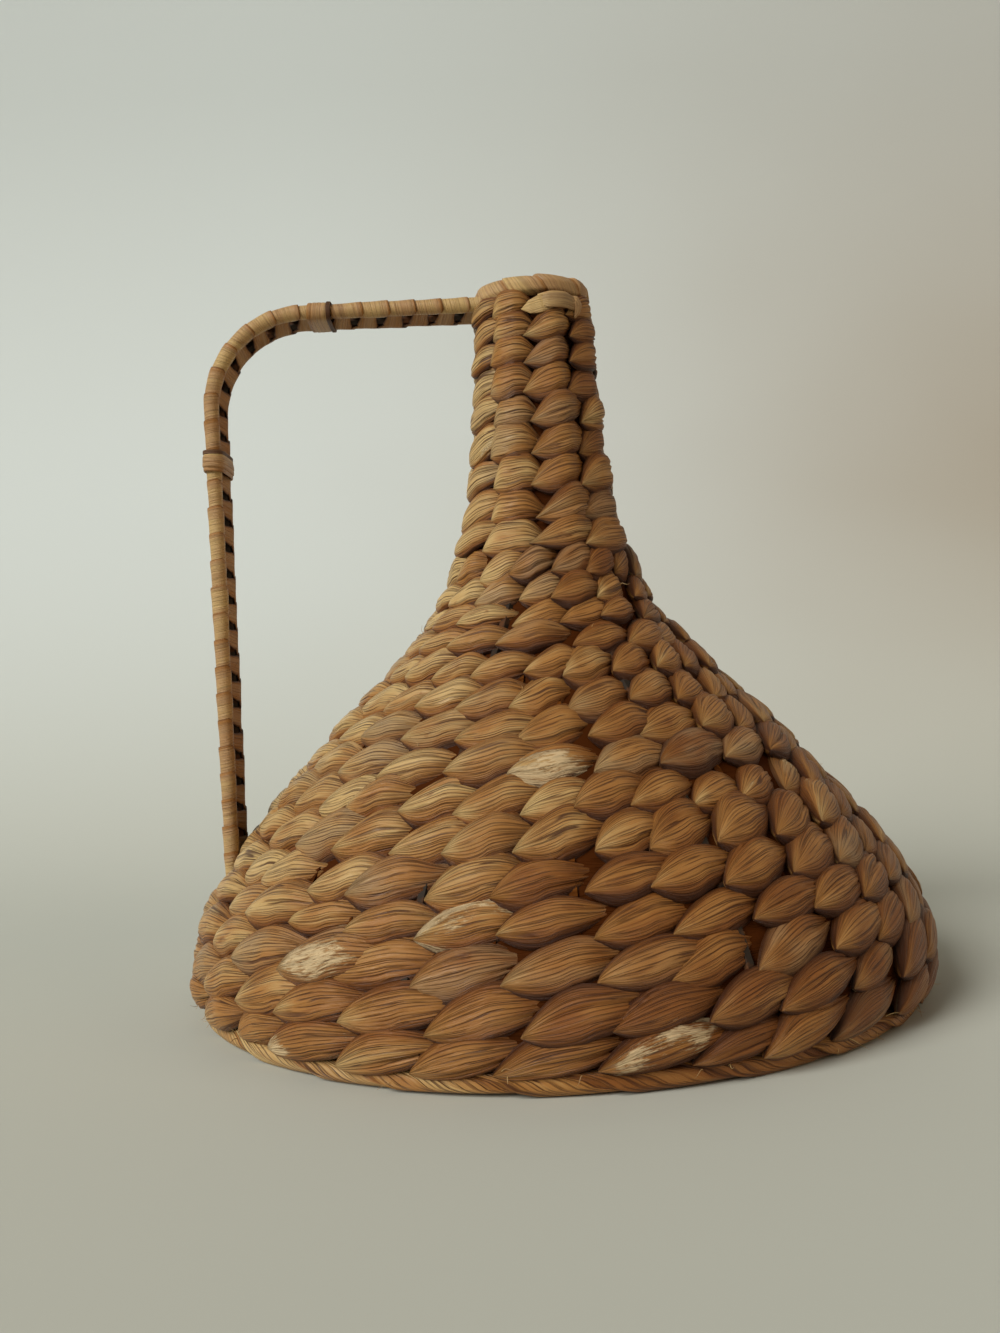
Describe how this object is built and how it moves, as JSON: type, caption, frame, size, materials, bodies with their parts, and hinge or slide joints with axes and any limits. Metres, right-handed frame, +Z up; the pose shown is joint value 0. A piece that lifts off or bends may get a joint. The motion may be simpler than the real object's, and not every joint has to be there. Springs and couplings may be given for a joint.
{
  "type": "woven flask vase",
  "caption": "Round woven vase with a low bell-shaped body, a slim neck, a small round mouth and a squared side handle that runs from the mouth rim down to the body.",
  "frame": {"origin": "on the floor, on the axis of the foot ring", "axes": "+Z up along the axis of the neck, -X towards the handle"},
  "size_m": [0.2004, 0.2004, 0.1925],
  "materials": {
    "frame_wire": "plain dark iron wire",
    "leaf_stake": "rolled dry leaf",
    "leaf_weave": "twisted dry leaf, satin, straw to brown",
    "leaf_strip": "flat dry leaf strip, satin",
    "leaf_binding": "flat dry leaf strip, darker"
  },
  "bodies": {
    "root": {"mouth_hoop": "frame_wire", "shoulder_hoop": "frame_wire", "foot_hoop": "frame_wire", "upright_1": "frame_wire", "upright_2": "frame_wire", "upright_3": "frame_wire", "upright_4": "frame_wire", "upright_5": "frame_wire", "upright_6": "frame_wire", "upright_7": "frame_wire", "upright_8": "frame_wire", "crossbar_flat": "frame_wire", "crossbar_humped": "frame_wire", "handle_wire_front": "frame_wire", "handle_wire_rear": "frame_wire", "stake_01": "leaf_stake", "stake_02": "leaf_stake", "stake_03": "leaf_stake", "stake_04": "leaf_stake", "stake_05": "leaf_stake", "stake_06": "leaf_stake", "stake_07": "leaf_stake", "stake_08": "leaf_stake", "stake_09": "leaf_stake", "stake_10": "leaf_stake", "stake_11": "leaf_stake", "stake_12": "leaf_stake", "stake_13": "leaf_stake", "stake_14": "leaf_stake", "stake_15": "leaf_stake", "stake_16": "leaf_stake", "stake_17": "leaf_stake", "stake_18": "leaf_stake", "stake_19": "leaf_stake", "stake_20": "leaf_stake", "stake_21": "leaf_stake", "stake_22": "leaf_stake", "stake_23": "leaf_stake", "stake_24": "leaf_stake", "body_weave": "leaf_weave", "neck_weave": "leaf_weave", "base_weave": "leaf_weave", "foot_border": "leaf_strip", "mouth_border": "leaf_strip", "mouth_tie": "leaf_strip", "handle_wrap_top": "leaf_strip", "handle_wrap_bend": "leaf_strip", "handle_wrap_drop": "leaf_strip", "handle_binding_top": "leaf_binding", "handle_binding_drop": "leaf_binding"}
  },
  "joints": []
}
